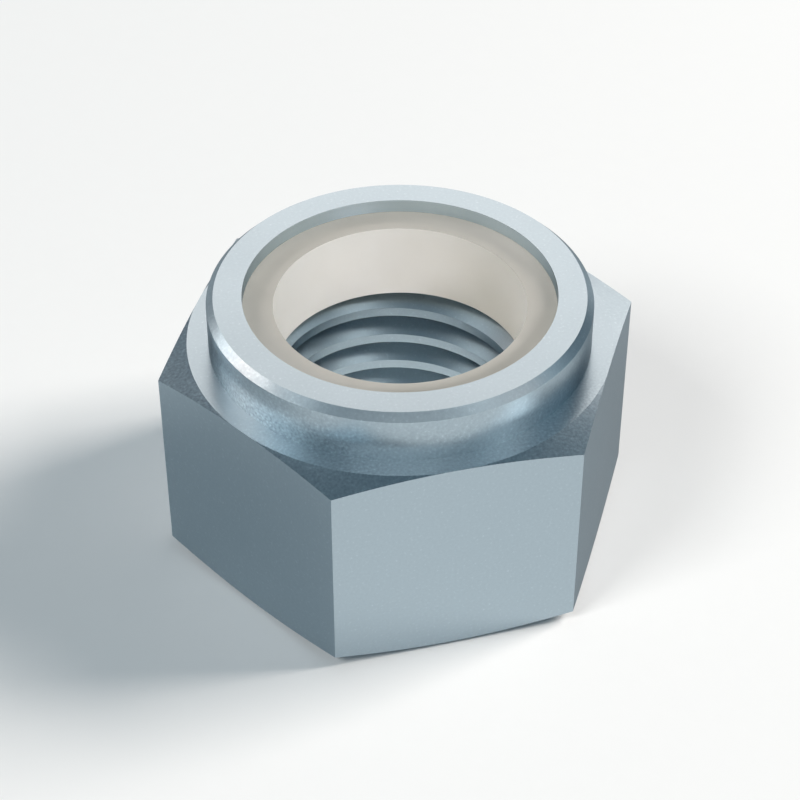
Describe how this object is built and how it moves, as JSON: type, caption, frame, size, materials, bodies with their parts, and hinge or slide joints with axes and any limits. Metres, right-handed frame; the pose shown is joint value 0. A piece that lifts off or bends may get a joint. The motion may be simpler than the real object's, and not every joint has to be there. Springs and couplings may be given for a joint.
{
  "type": "nylon insert lock nut",
  "caption": "Steel hexagon lock nut with a round collar that holds a nylon locking ring above a metric thread; it grips a bolt so that vibration can't loosen it.",
  "frame": {"origin": "centre of the bearing face, on the thread's axis", "axes": "+Z along the thread, from the bearing face to the end with the locking ring; X through two opposite corners of the hexagon, Y square to two opposite flats"},
  "size_m": [0.0278, 0.024, 0.016],
  "materials": {
    "plated_steel": "blue zinc plating, satin, with a fine grain",
    "nylon": "natural nylon, smooth and matt"
  },
  "bodies": {
    "root": {"nut_body": "plated_steel", "locking_ring": "nylon"}
  },
  "joints": []
}
